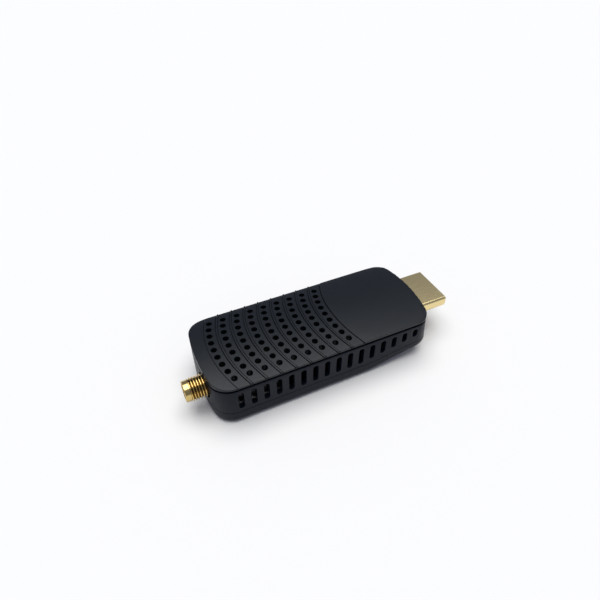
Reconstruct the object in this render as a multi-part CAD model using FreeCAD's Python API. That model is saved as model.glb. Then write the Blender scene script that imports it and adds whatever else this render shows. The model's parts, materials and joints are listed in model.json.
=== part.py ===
import FreeCAD, Part
import math
import os
from FreeCAD import Vector

# A stick-shaped TV receiver: a black housing of three snapped shells, an HDMI plug on the +X end,
# an SMA aerial socket on the -X end, and a circuit board with its parts between them.
# Millimetres. +X points to the plug, +Y to the side with the two small sockets, +Z up.
# The origin is the middle of the housing's length and width, on the table that it lies on.

# Housing, seen from above
housing_length = 65.6
housing_width = 27.25
plug_end_bow_radius = 68.0
antenna_end_bow_radius = 60.0
plug_end_corner_radius = 4.4
antenna_end_corner_radius = 5.8

# Housing, seen from the side: the seam and the top of the side band over the table, then the groove
# between band and cover, the height of the cover over the groove, and how far its crown falls to the sides
seam_height = 4.28
band_height = 12.58
groove_height = 0.67
cover_rise = 1.8
crown_drop = 1.15

# Walls, edges and the joins between the three shells
wall = 1.3
floor_thickness = 1.5
cover_edge_chamfer = 0.3
band_edge_chamfer = 0.25
foot_edge_chamfer = 0.8
least_corner_radius = 0.35
seam_gap = 0.15
seam_lip_height = 0.9
lip_thickness = 0.6
lip_clearance = 0.08
skirt_depth = 1.2
skirt_thickness = 0.6

# The seam leaves its level in an arc, climbs, bends back in a second arc and goes on at a lower slope.
# The start is measured back from the plug end, and slopes are in degrees
seam_sweep_start = 20.4
seam_climb_radius = 20.0
seam_climb_slope = 10.2
seam_climb_run = 2.3
seam_settle_radius = 30.0
seam_end_slope = 5.8

# The underside does the same: it leaves the table in an arc and goes on as a slope
keel_start = 23.3
keel_arc_radius = 45.0
keel_slope = 5.3

# Shingle bands and vent holes of the top cover
band_count = 9
band_pitch = 4.07
band_arc_radius = 31.0
first_row_from_end = 5.08
holes_per_row = 9
hole_step_angle = 5.0
hole_diameter = 1.65
hole_sides = 10
columns_per_strip = 2
row_to_step = 2.43
row_to_crease = 1.67
ramp_length = 0.75
step_edge_drop = 0.10
step_foot_drop = 0.40
crease_drop = 0.30
last_groove_width = 0.35

# Vent slots of the side band
slot_count = 16
slot_pitch = 3.485
first_slot_from_end = 7.28
slot_width = 1.6
slot_end_sides = 4
slot_top_gap = 1.07
slot_length = 5.95
full_slots = 11
slot_shortening = 0.625
slot_rib = 1.0

# Circuit board
board_thickness = 1.0
board_underside = 8.92
board_side_gap = 0.5
board_corner_radius = 2.0
board_plug_gap = 8.375
board_antenna_gap = 3.575

# Cross-shaped posts. Each place: the board's end it is measured from, the distance from that end,
# the long side (1 far, -1 near) and the distance from that side's edge of the board
post_size = 2.4
post_rib = 0.8
board_post_places = [("antenna", 2.3, 1, 3.05), ("antenna", 21.0, -1, 2.05), ("plug", 1.4, 1, 1.6),
                     ("plug", 1.4, -1, 1.6)]
cover_post_size = 2.0
cover_post_places = [("plug", 13.8, 1, 1.65), ("plug", 13.8, -1, 1.65), ("plug", 2.0, 1, 1.65),
                     ("plug", 2.0, -1, 1.65)]
cover_post_clearance = 0.1

# HDMI type A plug
plug_width = 13.9
plug_height = 4.45
plug_corner_radius = 0.62
plug_side_height = 2.95
plug_bottom_width = 11.1
plug_lower_radius = 0.4
plug_sheet = 0.3
plug_reach = 9.41
plug_rise_over_board = 0.3
plug_window_clearance = 0.2
plug_leg_length = 3.2
plug_leg_height = 1.6
plug_mouth_width = 12.0
plug_mouth_height = 1.9
plug_mouth_depth = 8.0
plug_mouth_setback = 0.6
plug_contact_count = 19
plug_contact_pitch = 0.5
plug_contact_width = 0.3
plug_contact_thickness = 0.2
plug_contact_setback = 1.2
plug_contact_step_back = 1.0
plug_tail_length = 2.0

# SMA aerial socket
antenna_from_near_side = 9.0
antenna_reach = 5.29
antenna_thread_diameter = 6.35
antenna_collar_diameter = 5.7
antenna_collar_length = 1.6
antenna_tip_chamfer = 0.2
antenna_relief_diameter = 5.6
antenna_thread_end_gap = 0.12
antenna_hole_diameter = 7.3
antenna_flange_size = 6.4
antenna_flange_thickness = 1.5
antenna_mouth_diameter = 4.6
antenna_mouth_depth = 1.2
antenna_insulator_diameter = 4.1
antenna_contact_diameter = 1.27
antenna_contact_bore = 0.92
antenna_contact_bore_depth = 3.0
antenna_slit_width = 0.2
antenna_slit_length = 1.8
antenna_pin_diameter = 0.9
antenna_pin_length = 2.6
antenna_leg_size = 0.8
antenna_leg_length = 2.6
antenna_leg_spacing = 5.2

# Tuner: sheet metal can under the board, with its chip
can_length = 15.6
can_width = 12.6
can_depth = 7.0
can_sheet = 0.3
can_place = (-18.8, -4.5)
can_pin_notch = 1.6
can_lid_lap = 2.0
tuner_chip_size = (5.0, 5.0, 0.9)

# Chips and small parts: length along X, width along Y, height
decoder_chip_size = (12.0, 12.0, 1.1)
decoder_place = (15.2, -2.4)
thermal_pad_size = (11.0, 11.0, 0.4)
heat_sink_size = (14.0, 14.0)
heat_sink_base = 0.6
heat_sink_fin_height = 0.7
heat_sink_fin_thickness = 0.6
heat_sink_fin_count = 7
memory_chip_size = (12.5, 8.0, 1.0)
memory_place = (15.0, -2.0)
flash_chip_size = (5.3, 5.3, 1.8)
flash_place = (-18.5, 6.9)
crystal_size = (3.2, 2.5, 0.7)
crystal_x = 4.6
crystal_from_near_edge = 4.2
inductor_size = (4.0, 4.0, 2.0)
inductor_corner_chamfer = 0.4
inductor_places = [(-3.5, 6.2), (2.5, 6.2), (8.5, 6.2)]
regulator_size = (2.9, 1.6, 1.1)
regulator_places = [(-3.5, 1.6), (2.5, 1.6), (-10.0, 6.2)]
ceramic_size = (2.0, 1.25, 0.9)
ceramic_places = [(-9.0, -6.5), (-5.5, -6.5), (-2.0, -6.5), (1.5, -6.5), (-9.0, 2.4), (5.5, -1.5)]
tantalum_size = (3.5, 2.8, 1.9)
tantalum_places = [(-15.5, 6.2), (-15.5, -5.8)]
led_size = (1.6, 0.8, 0.6)
led_x = 19.5
led_from_near_edge = 2.6

# Micro-USB power socket in the far wall, under the board
power_x = 5.43
power_width = 7.5
power_height = 2.5
power_lower_width = 5.4
power_side_height = 1.6
power_sheet = 0.25
power_depth = 5.6
power_setback = 0.4
power_window_clearance = 0.45
power_tongue_width = 3.7
power_tongue_thickness = 0.7
power_tongue_drop = 0.35
power_back_thickness = 1.4
power_tongue_setback = 0.8
power_contact_count = 5
power_contact_pitch = 0.65
power_contact_width = 0.35
power_contact_thickness = 0.12

# 2.5 mm jack for the infrared eye, in the far wall, under the board
jack_x = -5.07
jack_body_size = (5.0, 11.0, 4.2)
jack_wall_gap = 0.2
jack_nose_diameter = 3.8
jack_nose_setback = 0.2
jack_hole_clearance = 0.25
jack_bore_diameter = 2.6
jack_bore_depth = 11.0
jack_contact_thickness = 0.25
jack_contact_width = 1.2
jack_contact_height = 2.4
jack_contact_count = 3
jack_first_contact = 1.6
jack_contact_pitch = 3.6

# Lengths that only have to reach past the housing when something is cut or kept
far = 60.0
cut_margin = 2.0

half_length = housing_length / 2
half_width = housing_width / 2
plug_end = half_length
antenna_end = -half_length
cover_seat_height = band_height + groove_height
crown_height = cover_seat_height + cover_rise
crown_radius = (half_width ** 2 + crown_drop ** 2) / (2 * crown_drop)
slot_top_height = band_height - slot_top_gap
board_top = board_underside + board_thickness
board_plug_end = plug_end - board_plug_gap
board_antenna_end = antenna_end + board_antenna_gap
board_side = half_width - wall - board_side_gap
plug_tip = plug_end + plug_reach
antenna_tip = antenna_end - antenna_reach
antenna_y = -half_width + antenna_from_near_side


def prism(points, direction):
    """Solid with the polygon through the points as its section, pushed along direction."""
    wire = Part.makePolygon(points + [points[0]])
    return Part.Face(wire).extrude(direction)


def block(centre_x, centre_y, size, z_low):
    """Upright box with its middle at centre_x, centre_y and its lowest face at z_low."""
    corner = Vector(centre_x - size[0] / 2, centre_y - size[1] / 2, z_low)
    return Part.makeBox(size[0], size[1], size[2], corner)


def hung(centre_x, centre_y, size):
    """Box that hangs from the board's underside."""
    return block(centre_x, centre_y, size, board_underside - size[2])


def stood(centre_x, centre_y, size):
    """Box that stands on the board's top."""
    return block(centre_x, centre_y, size, board_top)


def end_corner(direction, bow_radius, corner_radius, inset):
    """Points of one rounded corner of the plan, on the +Y side of the end that direction points to."""
    bow_centre = direction * (half_length - bow_radius)
    bow = bow_radius - inset
    corner = max(corner_radius - inset, least_corner_radius)
    centre_y = half_width - inset - corner
    centre_x = bow_centre + direction * math.sqrt((bow - corner) ** 2 - centre_y ** 2)
    outward = Vector(centre_x - bow_centre, centre_y, 0).normalize()
    middle = (outward + Vector(0, 1, 0)).normalize()
    centre = Vector(centre_x, centre_y, 0)
    on_end = centre + outward * corner
    on_corner = centre + middle * corner
    on_side = centre + Vector(0, corner, 0)
    apex = Vector(direction * (half_length - inset), 0, 0)
    return apex, on_end, on_corner, on_side


def mirrored(point):
    return Vector(point.x, -point.y, point.z)


def plan_prism(inset, low, high):
    """Upright solid of the housing's outline, drawn in by inset, between two heights."""
    plug_apex, plug_bow, plug_bend, plug_side = end_corner(
        1, plug_end_bow_radius, plug_end_corner_radius, inset)
    antenna_apex, antenna_bow, antenna_bend, antenna_side = end_corner(
        -1, antenna_end_bow_radius, antenna_end_corner_radius, inset)
    edges = [
        Part.Arc(mirrored(plug_bow), plug_apex, plug_bow).toShape(),
        Part.Arc(plug_bow, plug_bend, plug_side).toShape(),
        Part.LineSegment(plug_side, antenna_side).toShape(),
        Part.Arc(antenna_side, antenna_bend, antenna_bow).toShape(),
        Part.Arc(antenna_bow, antenna_apex, mirrored(antenna_bow)).toShape(),
        Part.Arc(mirrored(antenna_bow), mirrored(antenna_bend), mirrored(antenna_side)).toShape(),
        Part.LineSegment(mirrored(antenna_side), mirrored(plug_side)).toShape(),
        Part.Arc(mirrored(plug_side), mirrored(plug_bend), mirrored(plug_bow)).toShape(),
    ]
    face = Part.Face(Part.Wire(edges))
    face.translate(Vector(0, 0, low))
    return face.extrude(Vector(0, 0, high - low))


def plan_ring(outer_inset, inner_inset, low, high):
    """Upright wall that follows the housing's outline."""
    inside = plan_prism(inner_inset, low - cut_margin, high + cut_margin)
    return plan_prism(outer_inset, low, high).cut(inside)


def side_region(path, closing_height):
    """Everything between a path along the length and closing_height, across the whole width."""
    start = path[0].Vertexes[0].Point
    end = path[-1].Vertexes[-1].Point
    end_corner_point = Vector(end.x, end.y, closing_height)
    start_corner_point = Vector(start.x, start.y, closing_height)
    closing = [
        Part.LineSegment(end, end_corner_point).toShape(),
        Part.LineSegment(end_corner_point, start_corner_point).toShape(),
        Part.LineSegment(start_corner_point, start).toShape(),
    ]
    face = Part.Face(Part.Wire(path + closing))
    return face.extrude(Vector(0, 2 * far, 0))


def bend(start, heading, new_heading, radius):
    """Arc in a plane along the length that leaves start at one heading and ends at another, and its end."""
    side = math.copysign(radius, new_heading - heading)
    centre = start + Vector(-math.sin(heading), 0, math.cos(heading)) * side

    def on_arc(angle):
        return centre + Vector(math.sin(angle), 0, -math.cos(angle)) * side

    end = on_arc(new_heading)
    return Part.Arc(start, on_arc((heading + new_heading) / 2), end).toShape(), end


def onward(point, heading, length):
    return point + Vector(math.cos(heading), 0, math.sin(heading)) * length


def below_seam(rise):
    """Everything under the seam, moved up by rise: level, then swept up towards the plug."""
    climb = math.radians(seam_climb_slope)
    settle = math.radians(seam_end_slope)
    level = seam_height + rise
    start = Vector(plug_end - seam_sweep_start, -far, level)
    first_arc, climb_start = bend(start, 0, climb, seam_climb_radius)
    climb_end = onward(climb_start, climb, seam_climb_run)
    second_arc, settled = bend(climb_end, climb, settle, seam_settle_radius)
    path = [
        Part.LineSegment(Vector(-far, -far, level), start).toShape(),
        first_arc,
        Part.LineSegment(climb_start, climb_end).toShape(),
        second_arc,
        Part.LineSegment(settled, onward(settled, settle, far)).toShape(),
    ]
    return side_region(path, -far)


def above_keel(rise):
    """Everything over the underside, moved up by rise: flat on the table, then an arc and a slope."""
    slope = math.radians(keel_slope)
    start = Vector(plug_end - keel_start, -far, rise)
    arc, end = bend(start, 0, slope, keel_arc_radius)
    path = [
        Part.LineSegment(Vector(-far, -far, rise), start).toShape(),
        arc,
        Part.LineSegment(end, onward(end, slope, far)).toShape(),
    ]
    return side_region(path, far)


def strip_edges():
    """Y of the lines along which the crown's long flat strips meet, between the columns of holes."""
    edges = []
    angle = math.radians(hole_step_angle / 2)
    while not edges or edges[-1] < half_width:
        edges.append(band_arc_radius * math.sin(angle))
        angle += math.radians(hole_step_angle * columns_per_strip)
    return [-y for y in reversed(edges)] + edges


def crown_bar(drop, x=0, slope=0):
    """Bar along X under the crown: drop below it at x, and rising with slope towards the plug.

    Its strips follow the crown and the bands' bow, so a sloped bar keeps one depth along a band's arc.
    """
    points = []
    for y in strip_edges():
        sag = crown_radius - math.sqrt(crown_radius ** 2 - y ** 2)
        bow = band_arc_radius - math.sqrt(band_arc_radius ** 2 - y ** 2)
        points.append(Vector(x - far, y, crown_height - drop - sag - slope * (far + bow)))
    points.append(Vector(x - far, points[-1].y, -far))
    points.append(Vector(x - far, points[0].y, -far))
    return prism(points, Vector(2 * far, 0, 2 * far * slope))


def arc_disc(x):
    """Upright disc over the cover's seat whose edge is the band arc that crosses the middle line at x."""
    foot = Vector(x + band_arc_radius, 0, cover_seat_height)
    return Part.makeCylinder(band_arc_radius, cover_rise + cut_margin, foot)


def row_x(row):
    """X of the middle hole of a row."""
    return antenna_end + first_row_from_end + row * band_pitch


def shingle_cutters():
    """What is taken off over each band: up a slope to its edge, down a step and up a short ramp."""
    edges = [row_x(row) + row_to_step for row in range(band_count)]
    lift = crease_drop - step_edge_drop
    first_slope = lift / (row_to_step + row_to_crease)
    slope = lift / (band_pitch - ramp_length)
    ramp_slope = (step_foot_drop - crease_drop) / ramp_length
    first_size = (2 * far, 2 * far, cover_rise + cut_margin)
    first_zone = block(edges[0] - far + band_arc_radius, 0, first_size, cover_seat_height)
    first_zone = first_zone.cut(arc_disc(edges[0]))
    cutters = [first_zone.cut(crown_bar(crease_drop).fuse(crown_bar(step_edge_drop, edges[0], first_slope)))]
    for row in range(1, band_count):
        zone = arc_disc(edges[row - 1]).cut(arc_disc(edges[row]))
        ramp = crown_bar(step_foot_drop, edges[row - 1], ramp_slope)
        cutters.append(zone.cut(ramp.common(crown_bar(step_edge_drop, edges[row], slope))))
    groove = arc_disc(edges[-1]).cut(arc_disc(edges[-1] + last_groove_width))
    cutters.append(groove.cut(crown_bar(step_foot_drop)))
    return cutters


def vent_holes():
    """Rows of upright holes, each row on the same arc as the band edges."""
    holes = []
    middle = (holes_per_row - 1) / 2
    for row in range(band_count):
        for place in range(holes_per_row):
            angle = math.radians((place - middle) * hole_step_angle)
            x = row_x(row) + band_arc_radius * (1 - math.cos(angle))
            y = band_arc_radius * math.sin(angle)
            corners = []
            for side in range(hole_sides):
                turn = math.radians(360 / hole_sides) * side
                corner_x = x + hole_diameter / 2 * math.cos(turn)
                corner_y = y + hole_diameter / 2 * math.sin(turn)
                corners.append(Vector(corner_x, corner_y, band_height))
            holes.append(prism(corners, Vector(0, 0, crown_height - band_height + cut_margin)))
    return Part.makeCompound(holes)


def post_point(place):
    """X and Y of a post from its place on the board."""
    end, from_end, side, from_side = place
    x = board_antenna_end + from_end if end == "antenna" else board_plug_end - from_end
    return x, side * (board_side - from_side)


def cross_post(place, size, low, high):
    """Upright post with a cross for its section."""
    x, y = post_point(place)
    along = block(x, y, (size, post_rib, high - low), low)
    across = block(x, y, (post_rib, size, high - low), low)
    return along.fuse(across)


def rim_edges(plate):
    """Edges where the crown meets the plate's sides and ends."""
    rim = []
    for edge in plate.Edges:
        box = edge.BoundBox
        strip_joint = box.YLength < lip_clearance and abs(box.Center.y) < half_width - lip_clearance
        if box.ZMin > cover_seat_height + lip_clearance and not strip_joint:
            rim.append(edge)
    return rim


def make_top_cover():
    """Crowned plate with an edged rim, shingle bands, vent holes, locating skirt and board posts."""
    plate = plan_prism(0, cover_seat_height, crown_height + cut_margin).common(crown_bar(0))
    plate = plate.makeChamfer(min(cover_edge_chamfer, (cover_rise - crown_drop) / 2), rim_edges(plate))
    plate = plate.cut(shingle_cutters())
    skirt_inset = wall + lip_clearance
    pocket_inset = skirt_inset + skirt_thickness
    skirt_low = cover_seat_height - skirt_depth
    skirt = plan_ring(skirt_inset, pocket_inset, skirt_low, cover_seat_height)
    posts = []
    for place in cover_post_places:
        post = cross_post(place, cover_post_size, board_top + cover_post_clearance, crown_height)
        posts.append(post.common(crown_bar(cover_rise / 2)))
    cover = plate.fuse([skirt] + posts).removeSplitter()
    return cover.cut([vent_holes(), plug_window()])


def slot_cutter(x, low, high, wall_y):
    """Upright slot with rounded ends through a long wall."""
    radius = slot_width / 2
    start_y = wall_y - wall - cut_margin
    points = []
    for centre_z, first_turn in ((high - radius, 0), (low + radius, math.pi)):
        for side in range(slot_end_sides + 1):
            turn = first_turn + math.pi * side / slot_end_sides
            points.append(Vector(x + radius * math.cos(turn), start_y, centre_z + radius * math.sin(turn)))
    return prism(points, Vector(0, 2 * (wall + cut_margin), 0))


def slot_is_free(x):
    """True where the far wall has no socket in the slot's place."""
    reach = slot_width / 2 + slot_rib
    power_reach = power_width / 2 + power_window_clearance + reach
    jack_reach = jack_nose_diameter / 2 + jack_hole_clearance + reach
    return abs(x - power_x) >= power_reach and abs(x - jack_x) >= jack_reach


def vent_slots():
    """Slots of both long walls: level along the top, the last ones shorter towards the plug."""
    cutters = []
    for index in range(slot_count):
        x = antenna_end + first_slot_from_end + index * slot_pitch
        length = slot_length - slot_shortening * max(0, index + 1 - full_slots)
        low = slot_top_height - length
        cutters.append(slot_cutter(x, low, slot_top_height, -half_width))
        if slot_is_free(x):
            cutters.append(slot_cutter(x, low, slot_top_height, half_width))
    return cutters


def plug_section(inset, x):
    """Outline of the plug: square shouldered on top, drawn in towards the bottom."""
    centre = board_top + plug_rise_over_board
    top = centre + plug_height / 2 - inset
    bottom = centre - plug_height / 2 + inset
    half_top = plug_width / 2 - inset
    shoulder = centre + plug_height / 2 - plug_side_height
    lean = math.atan2(plug_width / 2 - plug_bottom_width / 2, plug_height - plug_side_height)
    drawn = inset * math.tan((math.pi / 2 - lean) / 2)
    half_bottom = plug_bottom_width / 2 - drawn
    shoulder_low = shoulder + inset * math.tan(lean / 2)
    points = [
        Vector(x, half_top, top), Vector(x, -half_top, top), Vector(x, -half_top, shoulder_low),
        Vector(x, -half_bottom, bottom), Vector(x, half_bottom, bottom), Vector(x, half_top, shoulder_low),
    ]
    return Part.makePolygon(points + [points[0]])


def plug_bar(inset, start, end):
    """Bar with the plug's outline and rounded edges along X."""
    bar = Part.Face(plug_section(inset, start)).extrude(Vector(end - start, 0, 0))
    centre = board_top + plug_rise_over_board
    upper = []
    lower = []
    for edge in bar.Edges:
        first, last = edge.Vertexes[0].Point, edge.Vertexes[-1].Point
        if abs(first.x - last.x) < abs(end - start) / 2:
            continue
        if first.z > centre + plug_height / 4:
            upper.append(edge)
        else:
            lower.append(edge)
    bar = bar.makeFillet(plug_corner_radius - min(inset, plug_corner_radius / 2), upper)
    lower = matching_edges(bar, lower)
    return bar.makeFillet(plug_lower_radius, lower)


def matching_edges(shape, wanted):
    """Edges of a shape that lie where the wanted edges lay before a fillet."""
    found = []
    for edge in shape.Edges:
        for old in wanted:
            if (edge.CenterOfMass - old.CenterOfMass).Length < lip_clearance:
                found.append(edge)
    return found


def plug_window():
    """Room for the plug where it passes the end wall."""
    return plug_bar(-plug_window_clearance, plug_end - 2 * wall - cut_margin, plug_end + cut_margin)


def antenna_axis_height():
    """The centre pin lies against the board's underside."""
    return board_underside - antenna_pin_diameter / 2


def power_section(inset, grow, y):
    """Outline of the power socket: flat on top, drawn in at the lower corners."""
    top = board_underside - inset + grow
    bottom = board_underside - power_height + inset - grow
    half_top = power_width / 2 - inset + grow
    half_bottom = power_lower_width / 2 - inset / 2 + grow / 2
    shoulder = board_underside - power_side_height
    points = [
        Vector(power_x - half_top, y, top), Vector(power_x + half_top, y, top),
        Vector(power_x + half_top, y, shoulder), Vector(power_x + half_bottom, y, bottom),
        Vector(power_x - half_bottom, y, bottom), Vector(power_x - half_top, y, shoulder),
    ]
    return Part.makePolygon(points + [points[0]])


def power_bar(inset, grow, start, end):
    """Bar along Y with the power socket's outline."""
    return Part.Face(power_section(inset, grow, start)).extrude(Vector(0, end - start, 0))


def jack_axis_height():
    """The jack hangs from the board by its full height."""
    return board_underside - jack_body_size[2] / 2


def jack_window():
    """Round hole for the jack's nose through the far wall and the tray's lip behind it."""
    start = Vector(jack_x, half_width - wall - cut_margin, jack_axis_height())
    return Part.makeCylinder(
        jack_nose_diameter / 2 + jack_hole_clearance, 2 * (wall + cut_margin), start, Vector(0, 1, 0))


def make_main_shell():
    """Side band with its slots, the aerial hole, the plug window and the two socket windows."""
    body = plan_prism(0, 0, band_height)
    top_edges = [edge for edge in body.Edges if edge.BoundBox.ZMin > band_height - seam_gap]
    body = body.makeChamfer(band_edge_chamfer, top_edges)
    lip = plan_ring(wall - lip_thickness, wall, band_height - wall, cover_seat_height)
    inside = plan_prism(wall, -cut_margin, crown_height)
    body = body.fuse(lip).cut(inside)
    rebate = plan_prism(wall - lip_thickness - lip_clearance, -cut_margin, band_height)
    body = body.cut(below_seam(seam_gap / 2)).cut(rebate.common(below_seam(seam_lip_height)))
    aerial_hole = Part.makeCylinder(
        antenna_hole_diameter / 2, 2 * (wall + cut_margin),
        Vector(antenna_end - cut_margin, antenna_y, antenna_axis_height()), Vector(1, 0, 0))
    power_window = power_bar(0, power_window_clearance, half_width - wall - cut_margin, half_width + cut_margin)
    return body.cut([aerial_hole, plug_window(), power_window, jack_window()] + vent_slots())


def make_bottom_cover():
    """Tray under the seam, with an edged foot, a locating lip and the posts of the board."""
    tray = plan_prism(0, -cut_margin, band_height).common(above_keel(0))
    foot_edges = []
    for edge in tray.Edges:
        box = edge.BoundBox
        crosswise = isinstance(edge.Curve, Part.Line) and box.YLength > half_width
        upright = box.ZLength > seam_height
        if box.ZMax < seam_height and not crosswise and not upright:
            foot_edges.append(edge)
    tray = tray.makeChamfer(foot_edge_chamfer, foot_edges)
    tray = tray.common(below_seam(-seam_gap / 2))
    lip = plan_prism(wall - lip_thickness, 0, band_height).common(above_keel(floor_thickness / 2))
    tray = tray.fuse(lip.common(below_seam(seam_lip_height)))
    inside = plan_prism(wall, 0, band_height).common(above_keel(floor_thickness))
    tray = tray.cut([inside, jack_window()])
    posts = []
    for place in board_post_places:
        post = cross_post(place, post_size, 0, board_underside)
        posts.append(post.common(above_keel(floor_thickness / 2)))
    return tray.fuse(posts).removeSplitter()


def make_circuit_board():
    """Board that stops short of the walls and of the plug."""
    size = (board_plug_end - board_antenna_end, 2 * board_side, board_thickness)
    board = block((board_plug_end + board_antenna_end) / 2, 0, size, board_underside)
    corners = [edge for edge in board.Edges if edge.BoundBox.ZLength > board_thickness / 2]
    return board.makeFillet(board_corner_radius, corners)


def make_hdmi_plug_shell():
    """Drawn sleeve of the plug, with two legs that stand on the board."""
    rear = board_plug_end + lip_clearance
    sleeve = plug_bar(0, rear, plug_tip)
    sleeve = sleeve.cut(plug_bar(plug_sheet, rear - cut_margin, plug_tip + cut_margin))
    legs = []
    for side in (-1, 1):
        outer = side * plug_width / 2
        inner = side * (plug_width / 2 - plug_sheet)
        corner = Vector(rear - plug_leg_length, min(outer, inner), board_top)
        legs.append(Part.makeBox(plug_leg_length + plug_sheet, plug_sheet, plug_leg_height, corner))
    return sleeve.fuse(legs).removeSplitter()


def plug_contact(index):
    """One strip: a beam along the mouth, a step down to the board, and a tail on the board."""
    centre_z = board_top + plug_rise_over_board
    upper = index % 2 == 0
    reach = plug_mouth_height / 2
    thick = plug_contact_thickness
    beam_low = centre_z + reach - thick / 2 if upper else centre_z - reach - thick / 2
    tail_low = board_top
    front = plug_tip - plug_mouth_setback - plug_contact_setback
    bend = board_plug_end + lip_clearance + plug_contact_step_back
    tail_end = board_plug_end - plug_tail_length
    y = (index - (plug_contact_count - 1) / 2) * plug_contact_pitch - plug_contact_width / 2
    low_bend = bend + thick
    if upper:
        outline = [(front, beam_low), (low_bend, beam_low), (low_bend, tail_low), (tail_end, tail_low),
                   (tail_end, tail_low + thick), (bend, tail_low + thick), (bend, beam_low + thick),
                   (front, beam_low + thick)]
    else:
        outline = [(front, beam_low), (bend, beam_low), (bend, tail_low), (tail_end, tail_low),
                   (tail_end, tail_low + thick), (low_bend, tail_low + thick), (low_bend, beam_low + thick),
                   (front, beam_low + thick)]
    points = [Vector(x, y, z) for x, z in outline]
    return prism(points, Vector(0, plug_contact_width, 0))


def make_hdmi_plug_contacts():
    return Part.makeCompound([plug_contact(index) for index in range(plug_contact_count)])


def make_hdmi_plug_insulator():
    """Moulded body inside the sleeve, with the mouth that the television's tongue enters."""
    rear = board_plug_end + lip_clearance
    front = plug_tip - plug_mouth_setback
    body = plug_bar(plug_sheet, rear, front)
    centre_z = board_top + plug_rise_over_board
    mouth_size = (2 * plug_mouth_depth, plug_mouth_width, plug_mouth_height)
    mouth = block(front, 0, mouth_size, centre_z - plug_mouth_height / 2)
    body = body.cut(mouth)
    return body.cut([plug_contact(index) for index in range(plug_contact_count)])


def turned_x(profile):
    """Solid turned about the aerial socket's axis from points of distance along X and radius."""
    z = antenna_axis_height()
    points = [Vector(x, antenna_y, z + radius) for x, radius in profile]
    face = Part.Face(Part.makePolygon(points + [points[0]]))
    return face.revolve(Vector(0, antenna_y, z), Vector(1, 0, 0), 360)


def make_antenna_socket_body():
    """Turned body with a collar, the thread's outside, a relief in the wall, a flange and four legs."""
    collar = antenna_collar_diameter / 2
    thread = antenna_thread_diameter / 2
    bore = antenna_insulator_diameter / 2
    mouth = antenna_mouth_diameter / 2
    chamfer = antenna_tip_chamfer
    collar_end = antenna_tip + antenna_collar_length
    mouth_end = antenna_tip + antenna_mouth_depth
    flange_front = board_antenna_end - antenna_flange_thickness
    rear = board_antenna_end
    thread_end = antenna_end - antenna_thread_end_gap
    relief = antenna_relief_diameter / 2
    barrel = turned_x([
        (antenna_tip, mouth), (antenna_tip, collar - chamfer), (antenna_tip + chamfer, collar),
        (collar_end, collar), (collar_end + chamfer, thread), (thread_end, thread), (thread_end, relief),
        (flange_front + chamfer, relief), (flange_front + chamfer, bore), (mouth_end, bore), (mouth_end, mouth),
    ])
    flange_size = (antenna_flange_thickness, antenna_flange_size, antenna_flange_size)
    flange_z = antenna_axis_height() - antenna_flange_size / 2
    flange = block((flange_front + rear) / 2, antenna_y, flange_size, flange_z)
    bore_cut = turned_x([(antenna_tip + antenna_mouth_depth, 0), (antenna_tip + antenna_mouth_depth, bore),
                         (rear + cut_margin, bore), (rear + cut_margin, 0)])
    leg_size = (antenna_leg_length + antenna_flange_thickness / 2, antenna_leg_size, antenna_leg_size)
    leg_x = rear + antenna_leg_length - leg_size[0] / 2
    legs = []
    for side in (-1, 1):
        leg_y = antenna_y + side * antenna_leg_spacing / 2
        legs.append(block(leg_x, leg_y, leg_size, board_top))
        legs.append(block(leg_x, leg_y, leg_size, board_underside - antenna_leg_size))
    return barrel.fuse([flange] + legs).cut(bore_cut).removeSplitter()


def make_antenna_socket_insulator():
    """White sleeve between the body and the centre contact."""
    outer = antenna_insulator_diameter / 2
    inner = antenna_contact_diameter / 2
    front = antenna_tip + antenna_mouth_depth
    rear = board_antenna_end - antenna_flange_thickness / 2
    return turned_x([(front, inner), (front, outer), (rear, outer), (rear, inner)])


def make_antenna_socket_contact():
    """Centre contact: a slit tube at the mouth and a pin that lies under the board."""
    outer = antenna_contact_diameter / 2
    bore = antenna_contact_bore / 2
    pin = antenna_pin_diameter / 2
    front = antenna_tip + antenna_mouth_depth
    bore_end = front + antenna_contact_bore_depth
    shoulder = board_antenna_end - antenna_flange_thickness / 2
    pin_end = board_antenna_end + antenna_pin_length
    contact = turned_x([(front, bore), (front, outer), (shoulder, outer), (shoulder, pin), (pin_end, pin),
                        (pin_end, 0), (bore_end, 0), (bore_end, bore)])
    slit_size = (2 * antenna_slit_length, antenna_contact_diameter + cut_margin, antenna_slit_width)
    slit_z = antenna_axis_height() - antenna_slit_width / 2
    level_slit = block(front, antenna_y, slit_size, slit_z)
    upright_slit = level_slit.copy()
    upright_slit.rotate(Vector(front, antenna_y, antenna_axis_height()), Vector(1, 0, 0), 90)
    return contact.cut([level_slit, upright_slit])


def can_box(inset, low):
    """Box of the tuner can, drawn in by inset, from the height low up to the board."""
    size = (can_length - 2 * inset, can_width - 2 * inset, board_underside - low)
    return block(can_place[0], can_place[1], size, low)


def make_tuner_can_frame():
    """Fence of bent sheet around the tuner, soldered to the board, with a notch for the aerial pin."""
    low = board_underside - can_depth + can_sheet
    fence = can_box(can_sheet, low).cut(can_box(2 * can_sheet, low - cut_margin))
    notch_size = (can_length / 2, can_pin_notch, can_pin_notch)
    notch = block(can_place[0] - can_length / 2, antenna_y, notch_size, board_underside - can_pin_notch)
    return fence.cut(notch)


def make_tuner_can_lid():
    """Shallow lid of the same sheet that laps over the fence from below."""
    low = board_underside - can_depth
    lid = can_box(0, low).common(can_box(-can_sheet, low).cut(can_box(-can_sheet, low + can_lid_lap)))
    edges = [edge for edge in lid.Edges if edge.BoundBox.ZMax < low + can_sheet / 2]
    lid = lid.makeFillet(can_sheet, edges)
    return lid.cut(can_box(can_sheet, low + can_sheet))


def make_tuner_chip():
    return hung(can_place[0], can_place[1], tuner_chip_size)


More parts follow.
